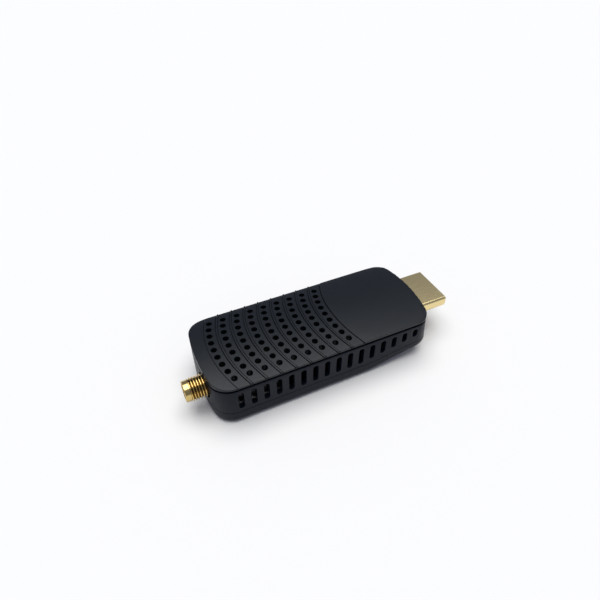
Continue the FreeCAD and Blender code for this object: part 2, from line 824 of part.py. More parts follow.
def make_decoder_chip():
    return hung(decoder_place[0], decoder_place[1], decoder_chip_size)


def make_thermal_pad():
    low = board_underside - decoder_chip_size[2] - thermal_pad_size[2]
    return block(decoder_place[0], decoder_place[1], thermal_pad_size, low)


def make_heat_sink():
    """Plate with low fins that point down to the air under the board."""
    base_top = board_underside - decoder_chip_size[2] - thermal_pad_size[2]
    base_low = base_top - heat_sink_base
    fin_low = base_low - heat_sink_fin_height
    size = (heat_sink_size[0], heat_sink_size[1], heat_sink_base)
    sink = block(decoder_place[0], decoder_place[1], size, base_low)
    fin_size = (heat_sink_size[0], heat_sink_fin_thickness, heat_sink_fin_height)
    spread = heat_sink_size[1] - heat_sink_fin_thickness
    fins = []
    for index in range(heat_sink_fin_count):
        y = decoder_place[1] - spread / 2 + index * spread / (heat_sink_fin_count - 1)
        fins.append(block(decoder_place[0], y, fin_size, fin_low))
    return sink.fuse(fins).removeSplitter()


def make_memory_chip():
    return stood(memory_place[0], memory_place[1], memory_chip_size)


def make_flash_chip():
    return hung(flash_place[0], flash_place[1], flash_chip_size)


def make_crystal():
    """Small metal can with cut corners."""
    can = hung(crystal_x, crystal_from_near_edge - board_side, crystal_size)
    upright = [edge for edge in can.Edges if edge.BoundBox.ZLength > crystal_size[2] / 2]
    return can.makeChamfer(inductor_corner_chamfer, upright)


def make_power_inductors():
    """Square moulded coils with cut corners."""
    coils = []
    for x, y in inductor_places:
        coil = stood(x, y, inductor_size)
        upright = [edge for edge in coil.Edges if edge.BoundBox.ZLength > inductor_size[2] / 2]
        coils.append(coil.makeChamfer(inductor_corner_chamfer, upright))
    return Part.makeCompound(coils)


def make_voltage_regulators():
    return Part.makeCompound([stood(x, y, regulator_size) for x, y in regulator_places])


def make_ceramic_capacitors():
    return Part.makeCompound([stood(x, y, ceramic_size) for x, y in ceramic_places])


def make_tantalum_capacitors():
    return Part.makeCompound([stood(x, y, tantalum_size) for x, y in tantalum_places])


def make_status_led():
    return stood(led_x, led_from_near_edge - board_side, led_size)


def make_power_socket_shell():
    """Folded sheet sleeve, open towards the outside."""
    mouth = half_width - power_setback
    rear = mouth - power_depth
    sleeve = power_bar(0, 0, rear, mouth)
    return sleeve.cut(power_bar(power_sheet, 0, rear - cut_margin, mouth + cut_margin))


def power_contacts():
    """Strips on the underside of the tongue that run out at the back."""
    tongue_low = board_underside - power_sheet - power_tongue_drop - power_tongue_thickness
    front = half_width - power_setback - power_tongue_setback - power_contact_width
    rear = half_width - power_setback - power_depth
    strips = []
    for index in range(power_contact_count):
        x = power_x + (index - (power_contact_count - 1) / 2) * power_contact_pitch
        size = (power_contact_width, front - rear, power_contact_thickness)
        strips.append(block(x, (front + rear) / 2, size, tongue_low))
    return strips


def make_power_socket_tongue():
    """Moulded back of the socket with the thin tongue that carries the strips."""
    mouth = half_width - power_setback
    rear = mouth - power_depth
    back = power_bar(power_sheet, 0, rear, rear + power_back_thickness)
    tongue_low = board_underside - power_sheet - power_tongue_drop - power_tongue_thickness
    tongue_front = mouth - power_tongue_setback
    size = (power_tongue_width, tongue_front - rear, power_tongue_thickness)
    tongue = block(power_x, (tongue_front + rear) / 2, size, tongue_low)
    return back.fuse(tongue).removeSplitter().cut(power_contacts())


def make_power_socket_contacts():
    return Part.makeCompound(power_contacts())


def jack_front():
    return half_width - wall - jack_wall_gap


def make_remote_sensor_jack_body():
    """Moulded block with a round nose in the wall and the bore for the plug."""
    rear = jack_front() - jack_body_size[1]
    body = hung(jack_x, (jack_front() + rear) / 2, jack_body_size)
    z = jack_axis_height()
    nose_end = half_width - jack_nose_setback
    outward = Vector(0, 1, 0)
    nose = Part.makeCylinder(
        jack_nose_diameter / 2, nose_end - jack_front() + wall, Vector(jack_x, jack_front() - wall, z), outward)
    bore = Part.makeCylinder(
        jack_bore_diameter / 2, jack_bore_depth + cut_margin,
        Vector(jack_x, nose_end - jack_bore_depth, z), outward)
    return body.fuse(nose).removeSplitter().cut(bore)


def make_remote_sensor_jack_contacts():
    """Flat terminals against the side of the jack, up to the board."""
    strips = []
    x = jack_x + jack_body_size[0] / 2 + jack_contact_thickness / 2
    size = (jack_contact_thickness, jack_contact_width, jack_contact_height)
    for index in range(jack_contact_count):
        y = jack_front() - jack_first_contact - index * jack_contact_pitch
        strips.append(hung(x, y, size))
    return Part.makeCompound(strips)


nodes = {
    "top_cover": make_top_cover,
    "main_shell": make_main_shell,
    "bottom_cover": make_bottom_cover,
    "circuit_board": make_circuit_board,
    "hdmi_plug_shell": make_hdmi_plug_shell,
    "hdmi_plug_insulator": make_hdmi_plug_insulator,
    "hdmi_plug_contacts": make_hdmi_plug_contacts,
    "antenna_socket_body": make_antenna_socket_body,
    "antenna_socket_insulator": make_antenna_socket_insulator,
    "antenna_socket_contact": make_antenna_socket_contact,
    "tuner_can_frame": make_tuner_can_frame,
    "tuner_can_lid": make_tuner_can_lid,
    "tuner_chip": make_tuner_chip,
    "decoder_chip": make_decoder_chip,
    "thermal_pad": make_thermal_pad,
    "heat_sink": make_heat_sink,
    "memory_chip": make_memory_chip,
    "flash_chip": make_flash_chip,
    "crystal": make_crystal,
    "power_inductors": make_power_inductors,
    "voltage_regulators": make_voltage_regulators,
    "ceramic_capacitors": make_ceramic_capacitors,
    "tantalum_capacitors": make_tantalum_capacitors,
    "status_led": make_status_led,
    "power_socket_shell": make_power_socket_shell,
    "power_socket_tongue": make_power_socket_tongue,
    "power_socket_contacts": make_power_socket_contacts,
    "remote_sensor_jack_body": make_remote_sensor_jack_body,
    "remote_sensor_jack_contacts": make_remote_sensor_jack_contacts,
}

os.makedirs("parts", exist_ok=True)
for name, make in nodes.items():
    shape = make()
    shape.exportStep(os.path.join("parts", name + ".step"))
    box = shape.BoundBox
    print(f"{name}: {len(shape.Solids)} solids, {shape.Volume:.1f} mm3, valid {shape.isValid()}, "
          f"x {box.XMin:.2f} to {box.XMax:.2f}, y {box.YMin:.2f} to {box.YMax:.2f}, "
          f"z {box.ZMin:.2f} to {box.ZMax:.2f}")
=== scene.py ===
# %% [markdown]
# A TV decoder dongle, dressed for its picture.
# The frame brings the hard pieces of the object in metres: the three housing shells, the plug, the
# aerial socket and the board with its parts. This lesson gives them their finishes, models again the
# pieces whose fine forms show in a close view, and sets a plain pale table, soft light and a camera.
# The new pieces are worked out in millimetres, as on a drawing, and turned to metres at the end.

import json
import math

import bmesh
import bpy
from mathutils import Matrix, Vector


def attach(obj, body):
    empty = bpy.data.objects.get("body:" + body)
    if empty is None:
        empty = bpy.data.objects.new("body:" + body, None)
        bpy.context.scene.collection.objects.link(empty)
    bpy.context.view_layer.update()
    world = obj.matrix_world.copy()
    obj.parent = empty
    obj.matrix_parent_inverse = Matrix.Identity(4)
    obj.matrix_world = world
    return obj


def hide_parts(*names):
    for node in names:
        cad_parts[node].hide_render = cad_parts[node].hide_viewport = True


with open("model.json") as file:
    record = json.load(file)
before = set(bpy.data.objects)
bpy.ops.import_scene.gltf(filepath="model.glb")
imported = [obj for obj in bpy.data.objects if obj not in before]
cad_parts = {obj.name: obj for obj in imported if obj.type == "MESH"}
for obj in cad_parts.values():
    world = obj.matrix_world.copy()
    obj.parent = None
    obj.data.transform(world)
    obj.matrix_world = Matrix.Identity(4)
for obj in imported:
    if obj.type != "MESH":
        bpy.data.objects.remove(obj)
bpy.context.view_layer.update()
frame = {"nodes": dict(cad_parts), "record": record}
MM = 0.001

# %% [markdown]
# Colours are picked as sRGB hex values, as in any paint program, but shaders count light in linear
# numbers. One function turns the first into the second. One more adds a node, sets it and links it,
# so that each finish reads as a short list of what it is made of.

# %% Helpers for finishes
def linear(hex_colour):
    """Linear RGBA of an sRGB hex colour, by the curve of the sRGB standard."""
    channels = []
    for start in (1, 3, 5):
        value = int(hex_colour[start:start + 2], 16) / 255
        channels.append(value / 12.92 if value <= 0.04045 else ((value + 0.055) / 1.055) ** 2.4)
    return (*channels, 1.0)


def add_node(material, kind, settings=None, links=None):
    """A node of the material, with attributes or sockets set and sockets linked."""
    node = material.node_tree.nodes.new("ShaderNode" + kind)
    for key, value in (settings or {}).items():
        if isinstance(key, str) and hasattr(node, key):
            setattr(node, key, value)
        else:
            node.inputs[key].default_value = value
    for key, source in (links or {}).items():
        material.node_tree.links.new(source, node.inputs[key])
    return node


def new_finish(name, settings):
    """A material with one Principled shader, and that shader."""
    material = bpy.data.materials.new(name)
    material.use_nodes = True
    shader = material.node_tree.nodes["Principled BSDF"]
    for key, value in settings.items():
        shader.inputs[key].default_value = value
    return material, shader


def link(material, source, shader, key):
    """Feeds one socket of the shader."""
    material.node_tree.links.new(source, shader.inputs[key])


print("middle grey in linear light:", round(linear("#808080")[0], 3))

# %% [markdown]
# The housing is injection moulded ABS with a fine spark-eroded grain from the tool. The grain breaks
# the highlight into a soft sheen, so the black never turns glossy. A picture of such grain could be
# wrapped round each piece, but a noise pattern needs no wrapping and has no seam. It drives the
# roughness and the bump, and a wider one changes the tone a little, as the flow of the plastic does.
# The real grain of about 0.1 mm is finer than a pixel, so it is drawn at 0.3 mm.

# %% Moulded ABS
NOISE_LOW, NOISE_HIGH = 0.3, 0.7      # nearly all of a noise pattern lies between these
FLOW_MM = 9                           # width of the clouds that the flow of the plastic leaves
PLASTIC_IOR = 1.53


def moulded_plastic(name, dark, pale, roughness, grain_mm, bump_mm, specular):
    """A grained plastic that lies between two close tones."""
    material, shader = new_finish(name, {"Roughness": roughness, "Specular IOR Level": specular,
                                         "IOR": PLASTIC_IOR})
    place = add_node(material, "TexCoord").outputs["Object"]
    flow = add_node(material, "TexNoise", {"Scale": 1 / (FLOW_MM * MM), "Detail": 3.0},
                    {"Vector": place})
    grain = add_node(material, "TexNoise", {"Scale": 1 / (grain_mm * MM), "Detail": 2.0},
                     {"Vector": place})
    tone = add_node(material, "Mix", {"data_type": "RGBA", 6: linear(dark), 7: linear(pale)},
                    {0: flow.outputs["Fac"]})
    link(material, tone.outputs[2], shader, "Base Color")
    gloss = add_node(material, "MapRange",
                     {"From Min": NOISE_LOW, "From Max": NOISE_HIGH,
                      "To Min": roughness - 0.05, "To Max": roughness + 0.06},
                     {"Value": grain.outputs["Fac"]})
    link(material, gloss.outputs["Result"], shader, "Roughness")
    bump = add_node(material, "Bump", {"Strength": 0.35, "Distance": bump_mm * MM},
                    {"Height": grain.outputs["Fac"]})
    link(material, bump.outputs["Normal"], shader, "Normal")
    return material


# The cover is satin black with a broad soft sheen. The band and the tray are a copy of the same ABS,
# made a little bluer and duller as painted shade on the walls that face away from the lamp above.
cover_abs = moulded_plastic("grained_black_abs_cover", "#0c1216", "#0f151a", 0.38, 0.3, 0.012, 0.235)
shell_abs_painted_shade = moulded_plastic("grained_black_abs_shell_painted_shade", "#0a111c", "#0c131f", 0.4, 0.3, 0.012, 0.12)
print("housing finishes:", cover_abs.name, shell_abs_painted_shade.name)

# %% [markdown]
# What lies behind the vents and in the sockets is moulded, cast, pressed or lacquered too, so the same
# recipe serves it, and only tone, grain and sheen differ. One dark grey could do for all of it, since
# so little shows, but seen close through a hole each piece should look like what it is. Its grain is
# drawn at 0.2 to 0.6 mm, a few times as coarse as the real one, or it wouldn't show at all.

# %% Other moulded finishes
# Liquid crystal polymer is a dull deep black, and PTFE a waxy white.
black_lcp = moulded_plastic("moulded_black_liquid_crystal_polymer", "#0c0c0d", "#121213",
                            0.45, 0.2, 0.01, 0.4)
white_ptfe = moulded_plastic("turned_white_ptfe", "#e4e3dc", "#efeee8", 0.4, 0.4, 0.01, 0.4)
# Chip epoxy is full of ground quartz, which makes it look like slate. The ochre one and the ceramic
# are painted darker here than they usually are, as painted shade inside the housing, so that no tint
# shines through the vent holes.
chip_epoxy = moulded_plastic("moulded_black_epoxy", "#151515", "#1d1d1d", 0.6, 0.2, 0.02, 0.4)
yellow_epoxy = moulded_plastic("moulded_ochre_epoxy", "#5c4510", "#6b5216", 0.45, 0.2, 0.01, 0.4)
tan_ceramic = moulded_plastic("fired_tan_ceramic", "#5a4a33", "#6a583e", 0.5, 0.2, 0.01, 0.4)
# Pressed ferrite and cast silicone are matt, and the lamp's clear cast epoxy looks milky and wet.
grey_ferrite = moulded_plastic("pressed_grey_ferrite", "#2b2b2d", "#38383a", 0.65, 0.25, 0.03, 0.4)
silicone_pad = moulded_plastic("cast_grey_silicone", "#8b94a4", "#99a2b0", 0.7, 0.4, 0.02, 0.4)
lamp_epoxy = moulded_plastic("cast_milky_epoxy", "#e6e4d6", "#efeee4", 0.3, 0.4, 0.005, 0.5)
# Solder mask is a thick lacquer that lies over the copper in soft waves.
solder_mask = moulded_plastic("black_solder_mask", "#0d1110", "#121615", 0.35, 0.6, 0.01, 0.4)
print("moulded finishes:", [material.name for material in bpy.data.materials])

# %% [markdown]
# Plated metal is one thin even skin, so its colour is the plating's, and its sheen shows how the metal
# under it was made: rolled sheet has faint streaks along one way, and turned brass is even. The
# shader's own anisotropy could stretch the highlights, but a noise pattern that is stretched along
# the streaks gives them a place too. Real ones are a few hundredths of a millimetre wide, so they are
# drawn at 0.2 to 0.3 mm. A metal keeps the shader's default IOR.

# %% Plated metals
STAIN_MM = 5      # width of the clouds where the plating is a little thinner


def plated_metal(name, dark, pale, roughness, streak_mm, stretch, bump_mm):
    """A plated metal whose streaks are stretch times longer than wide along x, y and z."""
    material, shader = new_finish(name, {"Metallic": 1.0, "Roughness": roughness})
    place = add_node(material, "TexCoord").outputs["Object"]
    along = add_node(material, "Mapping",
                     {"Scale": tuple(1 / (streak_mm * MM * times) for times in stretch)},
                     {"Vector": place})
    streak = add_node(material, "TexNoise", {"Scale": 1.0, "Detail": 4.0},
                      {"Vector": along.outputs["Vector"]})
    stain = add_node(material, "TexNoise", {"Scale": 1 / (STAIN_MM * MM), "Detail": 2.0},
                     {"Vector": place})
    tone = add_node(material, "Mix", {"data_type": "RGBA", 6: linear(dark), 7: linear(pale)},
                    {0: stain.outputs["Fac"]})
    link(material, tone.outputs[2], shader, "Base Color")
    gloss = add_node(material, "MapRange",
                     {"From Min": NOISE_LOW, "From Max": NOISE_HIGH,
                      "To Min": roughness * 0.92, "To Max": roughness * 1.08},
                     {"Value": streak.outputs["Fac"]})
    link(material, gloss.outputs["Result"], shader, "Roughness")
    bump = add_node(material, "Bump", {"Strength": 0.3, "Distance": bump_mm * MM},
                    {"Height": streak.outputs["Fac"]})
    link(material, bump.outputs["Normal"], shader, "Normal")
    return material


# The plug's gold is thin and pale over steel, the socket's is thicker and smoother over brass.
plug_gold = plated_metal("gold_plated_rolled_steel", "#e4ce93", "#eddaa2",
                         0.27, 0.25, (12, 1, 1), 0.0005)
socket_gold = plated_metal("gold_plated_turned_brass", "#c4aa68", "#d2b97c",
                           0.2, 0.25, (1, 1, 1), 0.001)
# Contacts are stamped from bronze strip and plated last, which leaves the deepest gold.
contact_gold = plated_metal("gold_plated_bronze", "#e6b866", "#efc67a", 0.22, 0.2, (6, 1, 1), 0.003)
# Tin is dull and grey, nickel brighter, and plain aluminium shows the lines of its extrusion.
tinned_steel = plated_metal("tinned_steel_sheet", "#c9c9c6", "#d4d4d2", 0.38, 0.3, (6, 1, 1), 0.006)
nickel_steel = plated_metal("nickel_plated_steel", "#c4c4c4", "#d2d2d2", 0.25, 0.25, (6, 1, 1), 0.004)
plain_aluminium = plated_metal("extruded_aluminium", "#cfd0d2", "#dadbdd", 0.35, 0.3, (8, 1, 1), 0.006)
print("metal finishes:", plug_gold.name, socket_gold.name)

# %% [markdown]
# The board and its parts are good as they are, dark shapes behind the vents. New pieces could stand in
# for them, but a finish is all they need. So every node of the frame takes the finish of its slot in
# the record, through its object's own material slots, and its mesh is left alone.

# %% Finishes for the frame's nodes
finish_of_slot = {
    "cover_plastic": cover_abs,
    "shell_plastic": shell_abs_painted_shade,
    "board_laminate": solder_mask,
    "plug_plating": plug_gold,
    "socket_plating": socket_gold,
    "contact_plating": contact_gold,
    "black_insulator": black_lcp,
    "white_insulator": white_ptfe,
    "tinned_sheet": tinned_steel,
    "chip_resin": chip_epoxy,
    "soft_pad": silicone_pad,
    "sink_metal": plain_aluminium,
    "ferrite": grey_ferrite,
    "tan_ceramic": tan_ceramic,
    "yellow_resin": yellow_epoxy,
    "lamp_resin": lamp_epoxy,
    "socket_steel": nickel_steel,
}
slot_of_node = {part["node"]: part["material_slot"] for part in frame["record"]["subparts"]}
for name, node in frame["nodes"].items():
    finish = finish_of_slot[slot_of_node[name]]
    if not node.material_slots:
        node.data.materials.append(finish)
    for material_slot in node.material_slots:
        material_slot.material = finish
print("dressed", len(frame["nodes"]), "nodes")

# %% [markdown]
# The housing seen from above has long straight sides, ends that bow outwards and rounded corners.
# Such an outline could be drawn as a curve. Here it is turned from single vertices with spin, one
# arc after the other, because each arc then has a real radius and as many steps as it needs. One
# side is mirrored onto the other, and the closed line is filled.

# %% Outline of the housing
HALF_LENGTH = 32.8
HALF_WIDTH = 13.625
ENDS = ((1, 68.0, 4.4), (-1, 60.0, 5.8))      # way along x, radius of the bow, radius of the corners
BOW_STEPS, CORNER_STEPS = 8, 14
WELD = 0.001                                  # vertices nearer than this are one


def verts_of(made):
    """The vertices in what an operator made."""
    return [item for item in made if isinstance(item, bmesh.types.BMVert)]


def turned(bm, vertex, centre, angle, steps):
    """The last vertex of an arc that starts at vertex and turns about an upright axis."""
    swept = bmesh.ops.spin(bm, geom=[vertex], cent=centre, axis=(0, 0, 1), angle=angle, steps=steps)
    return verts_of(swept["geom_last"])[0]


def outline_face(bm):
    """A flat face with the housing's outline."""
    on_sides = []
    for direction, bow_radius, corner_radius in ENDS:
        bow_centre = direction * (HALF_LENGTH - bow_radius)
        centre_y = HALF_WIDTH - corner_radius
        reach = math.sqrt((bow_radius - corner_radius) ** 2 - centre_y ** 2)
        turn = math.atan2(centre_y, reach)
        apex = bm.verts.new((direction * HALF_LENGTH, 0, 0))
        bent = turned(bm, apex, (bow_centre, 0, 0), direction * turn, BOW_STEPS)
        on_sides.append(turned(bm, bent, (bow_centre + direction * reach, centre_y, 0),
                               direction * (math.pi / 2 - turn), CORNER_STEPS))
    bmesh.ops.contextual_create(bm, geom=on_sides)
    bmesh.ops.mirror(bm, geom=bm.verts[:] + bm.edges[:], axis="Y", merge_dist=WELD)
    bmesh.ops.remove_doubles(bm, verts=bm.verts[:], dist=WELD)
    return bmesh.ops.contextual_create(bm, geom=bm.edges[:])["faces"][0]


outline_test = bmesh.new()
print("outline area in mm2:", round(outline_face(outline_test).calc_area(), 1))
outline_test.free()

# %% [markdown]
# The joint between the side band and the tray runs level and then sweeps up towards the plug, and
# the underside lifts off the table in the same way. Both could be cut into straight shells with a
# curved cutter. But both lines are level, then an arc, then a slope, so one function gives the height
# anywhere along them, and vertices are simply lifted by it. The plug end also leans out a little
# below the cover.

# %% Lines of the seam and the underside
SEAM_LEVEL, SEAM_FROM = 4.28, 12.4
SEAM_BENDS = ((20.0, 10.2, 2.3), (30.0, 5.8, 60.0))      # radius, slope in degrees, straight run
KEEL_FROM = 11.0
KEEL_BENDS = ((20.0, 12.6, 60.0),)
LEAN = 0.09                                              # outwards for each millimetre down
LEAN_TOP, LEAN_FROM, LEAN_BLEND = 12.6, 26.0, 5.0


def lift_along(x, start, bends):
    """Height at x of a line that is level up to start and then takes the bends."""
    at_x, at_z, heading = start, 0.0, 0.0
    if x <= start:
        return 0.0
    for radius, degrees, run in bends:
        new_heading = math.radians(degrees)
        side = math.copysign(radius, new_heading - heading)
        centre_x, centre_z = at_x - side * math.sin(heading), at_z + side * math.cos(heading)
        arc_x = centre_x + side * math.sin(new_heading)
        arc_z = centre_z - side * math.cos(new_heading)
        if x <= arc_x:
            return centre_z - side * math.sqrt(1 - ((x - centre_x) / side) ** 2)
        heading = new_heading
        at_x, at_z = arc_x + run * math.cos(heading), arc_z + run * math.sin(heading)
        if x <= at_x:
            return arc_z + (x - arc_x) * math.tan(heading)
    return at_z


def seam_height(x):
    """Height of the joint between side band and tray."""
    return SEAM_LEVEL + lift_along(x, SEAM_FROM, SEAM_BENDS)


def keel_height(x):
    """Height of the underside."""
    return lift_along(x, KEEL_FROM, KEEL_BENDS)


def plug_end_lean(point):
    """How far the plug end stands out there: nothing at the cover's rim, 0.7 mm at the foot."""
    down = max(0.0, LEAN_TOP - point.z)
    return LEAN * down * min(1.0, max(0.0, (point.x - LEAN_FROM) / LEAN_BLEND))


print("at the plug end, in mm: seam", round(seam_height(HALF_LENGTH), 2),
      "and underside", round(keel_height(HALF_LENGTH), 2))

# %% [markdown]
# The band and the tray both grow out of the flat outline. It is cut across where the sweep will bend
# it, and two rings are drawn inside it: the outer wall, and the lip behind that wall which holds the
# shells together. A sheet with Solidify would be quicker, but it has neither lip nor rebate. Each
# ring is then lifted to a height of its own.

# %% Cuts, rings and lifts
WALL, LIP = 0.7, 0.6
SWEEP_CUTS = [9.5 + 0.6 * number for number in range(20)]


def sliced(bm, point, outward, near, drop_outer=False):
    """Cuts everything along a plane, and drops what lies outside it where that is asked."""
    bmesh.ops.bisect_plane(bm, geom=bm.verts[:] + bm.edges[:] + bm.faces[:], dist=near,
                           plane_co=point, plane_no=outward, clear_outer=drop_outer)


def outline_with_cuts(bm):
    """The flat outline, cut at stations along the sweep, so that it can bend there."""
    outline_face(bm)
    for cut_x in SWEEP_CUTS:
        sliced(bm, (cut_x, 0, 0), (1, 0, 0), near=0.0001)


def drawn_in(bm, faces):
    """Two rings inside the outline; each vertex gets the number of the ring line it stands on."""
    ring = bm.verts.layers.int.new("ring")
    for number, width in ((1, WALL), (2, LIP)):
        bmesh.ops.inset_region(bm, faces=faces, thickness=width, use_even_offset=True,
                               use_boundary=True)
        for vertex in {vertex for face in faces for vertex in face.verts}:
            vertex[ring] = number
    return ring


def in_lip(face, ring):
    """True for a face of the inner ring."""
    return min(vertex[ring] for vertex in face.verts) > 0


def lifted(bm, faces, height, keep=False):
    """Extrudes flat faces to a height, and keeps the old faces only where they close the piece."""
    made = bmesh.ops.extrude_face_region(bm, geom=faces, use_keep_orig=True)["geom"]
    for vertex in verts_of(made):
        vertex.co.z = height
    if not keep:
        bmesh.ops.delete(bm, geom=faces, context="FACES")


print("wall and lip together:", round(WALL + LIP, 2), "mm, cuts in the sweep:", len(SWEEP_CUTS))

# %% [markdown]
# A piece that was worked out in millimetres becomes an object in metres at the origin. Its faces are
# turned outwards, smooth shading is switched on, and edges over a given angle stay crisp. No moulded
# or folded edge is quite sharp, so some pieces also get a live bevel. It could be made in the mesh,
# but the modifier keeps the shading of the flat faces flat.

# %% From millimetres to a finished piece
CRISP = 40.0            # degrees between two faces from which their edge stays crisp
BEVEL_FROM = 50.0       # degrees from which a live bevel rounds an edge


def smoothed(data, crisp):
    """Smooth shading, with crisp edges from that many degrees on."""
    data.shade_smooth()
    data.set_sharp_from_angle(angle=math.radians(crisp))


def metre_mesh(bm, name):
    """A mesh in metres from a bmesh in millimetres, its faces turned outwards."""
    bmesh.ops.recalc_face_normals(bm, faces=bm.faces[:])
    bmesh.ops.scale(bm, vec=(MM, MM, MM), verts=bm.verts[:])
    data = bpy.data.meshes.new(name)
    bm.to_mesh(data)
    bm.free()
    return data


def placed(name, data):
    """An object with that data, in the scene, at the origin."""
    placed_object = bpy.data.objects.new(name, data)
    bpy.context.scene.collection.objects.link(placed_object)
    return placed_object


def piece_from(bm, name, finish, crisp=CRISP):
    """A finished piece of the object."""
    data = metre_mesh(bm, name)
    smoothed(data, crisp)
    data.materials.append(finish)
    return placed(name, data)


def bevelled(piece, width_mm, segments):
    """A live bevel on the crisp edges."""
    bevel = piece.modifiers.new("edges", "BEVEL")
    bevel.width = width_mm * MM
    bevel.segments = segments
    bevel.limit_method = "ANGLE"
    bevel.angle_limit = math.radians(BEVEL_FROM)
    bevel.harden_normals = True
    bevel.use_clamp_overlap = True
    bevel.miter_outer = "MITER_ARC"


print("edges stay crisp over", CRISP, "degrees")

# %% [markdown]
# The side band is the middle of the three shells: a wall 1.3 mm thick that follows the outline, with
# a lip on top that the cover sits round, and a rebate at the foot for the tray's lip. It could be one
# thick ring with two steps cut into it. Here both rings run from the rebate's height to the top,
# then the inner one is pushed on upwards as the lip, and the outer one downwards as the wall's foot.
# So no face is left inside the wall. Last, the foot follows the seam, and the plug end leans out.

# %% Side band
BAND_TOP = 12.46
LIP_TOP = 13.25
REBATE = 0.875          # height of the rebate above the wall's foot
HALF_GAP = 0.075        # half of the fine joint that stays open between band and tray

band_mesh = bmesh.new()
outline_with_cuts(band_mesh)
core = band_mesh.faces[:]
ring = drawn_in(band_mesh, core)
bmesh.ops.delete(band_mesh, geom=core, context="FACES")
for vertex in band_mesh.verts:
    vertex.co.z = REBATE
lifted(band_mesh, band_mesh.faces[:], BAND_TOP, keep=True)

band_mesh.normal_update()
flat_faces = [face for face in band_mesh.faces if abs(face.normal.z) > 0.9]
upper_faces = [face for face in flat_faces if face.calc_center_median().z > BAND_TOP / 2]
lip_faces = [face for face in upper_faces if in_lip(face, ring)]
foot_faces = [face for face in flat_faces if face not in upper_faces and not in_lip(face, ring)]
lifted(band_mesh, lip_faces, LIP_TOP)
lifted(band_mesh, foot_faces, 0.0)

top_edges = [edge for edge in band_mesh.edges
             if all(abs(vertex.co.z - BAND_TOP) < WELD and vertex[ring] == 0 for vertex in edge.verts)]
bmesh.ops.bevel(band_mesh, geom=top_edges, offset=0.12, segments=3, profile=0.5, affect="EDGES",
                material=-1)
for vertex in band_mesh.verts:
    if vertex.co.z < REBATE + HALF_GAP:
        vertex.co.z += seam_height(vertex.co.x) + HALF_GAP
    vertex.co.x += plug_end_lean(vertex.co)
side_band = piece_from(band_mesh, "vented_side_band", shell_abs_painted_shade)
print("side band:", len(side_band.data.polygons), "faces")

# %% [markdown]
# Vent slots and round holes are open where the mould's two halves touch. The wall could be built
# round each opening, but with this many in a bent wall it is simpler to cut them. A cutter is a flat
# face with the opening's outline, pushed along a way into a solid.

# %% Cutters for slots and round holes
THROUGH = 5.0          # length of a cutter in the long sides, half of it outside the housing
END_THROUGH = 6.0      # length of a cutter in the two ends


def pushed_through(bm, faces, way):
    """Extrudes the faces along a vector into a closed cutter."""
    made = bmesh.ops.extrude_face_region(bm, geom=faces, use_keep_orig=True)["geom"]
    bmesh.ops.translate(bm, vec=way, verts=verts_of(made))


def slot_cut(bm, x, low, high, width, side):
    """A slot with round ends: the upper half of a circle is moved up, and the face pushed out."""
    radius, sides = width / 2, 24
    stand = Matrix.Rotation(math.pi / 2, 4, "X") @ Matrix.Rotation(math.pi / sides, 4, "Z")
    place = Matrix.Translation((x, side * (HALF_WIDTH - THROUGH / 2), low + radius)) @ stand
    verts = bmesh.ops.create_circle(bm, cap_ends=True, radius=radius, segments=sides,
                                    matrix=place)["verts"]
    bmesh.ops.translate(bm, vec=(0, 0, high - low - width),
                        verts=[vertex for vertex in verts if vertex.co.z > low + radius])
    pushed_through(bm, verts[0].link_faces[:], (0, side * THROUGH, 0))


def round_cut(bm, centre, radius, way):
    """A round hole along a way."""
    turn = Vector(way).to_track_quat("Z", "Y").to_matrix().to_4x4()
    verts = bmesh.ops.create_circle(bm, cap_ends=True, radius=radius, segments=48,
                                    matrix=Matrix.Translation(centre) @ turn)["verts"]
    pushed_through(bm, verts[0].link_faces[:], way)


print("cutters are", THROUGH, "and", END_THROUGH, "mm long")

# %% [markdown]
# The windows of the plug and of the power socket are flat-sided and narrow at the bottom, as what
# comes through them only goes in one way up. A box could be bevelled along two edges. Six corners give
# the same outline at once, and later the section of the plug's sleeve as well.

# %% Cutters for windows
def window_corners(half_top, half_bottom, top, shoulder, bottom):
    """Corners, as (across, up), of an opening or plug whose two lower corners are cut off."""
    return [(-half_top, top), (half_top, top), (half_top, shoulder), (half_bottom, bottom),
            (-half_bottom, bottom), (-half_top, shoulder)]


def window_cut(bm, points, way):
    """A flat-sided window: a face through its corners, pushed along a way."""
    face = bmesh.ops.contextual_create(bm, geom=[bm.verts.new(point) for point in points])["faces"]
    pushed_through(bm, face, way)


plug_window = window_corners(7.15, 5.7, top=12.645, shoulder=9.3, bottom=7.795)
power_window = window_corners(4.2, 2.925, top=9.37, shoulder=7.32, bottom=5.97)
print("corners of a window:", len(plug_window))

# %% [markdown]
# A Boolean takes a cutter off a piece. As a live modifier it would need its cutter in the scene,
# hidden, so it is applied at once, and the cutter is thrown away. The exact solver is slower than the
# fast one, but it leaves clean edges to bevel.

# %% Taking a cutter off
def with_cut(piece, cutter_bm):
    """Takes a closed cutter off a closed piece, for good."""
    cutter = placed("cutter", metre_mesh(cutter_bm, "cutter"))
    cut = piece.modifiers.new("cut", "BOOLEAN")
    cut.operation = "DIFFERENCE"
    cut.solver = "EXACT"
    cut.object = cutter
    view = bpy.context.evaluated_depsgraph_get()
    result = bpy.data.meshes.new_from_object(piece.evaluated_get(view))
    piece.modifiers.remove(cut)
    spent = [piece.data, cutter.data]
    piece.data = result
    result.name = piece.name
    bpy.data.objects.remove(cutter)
    for data in spent:
        bpy.data.meshes.remove(data)
    smoothed(result, CRISP)


print("faces of the band before the cut:", len(side_band.data.polygons))

# %% [markdown]
# Sixteen vent slots stand in the near wall, all of them up to the same line, and the last five start
# a little higher each time, above the sweep. The far wall has ten, because its two sockets need
# room. Slots could be painted on, but the board shows through them, so they are cut.

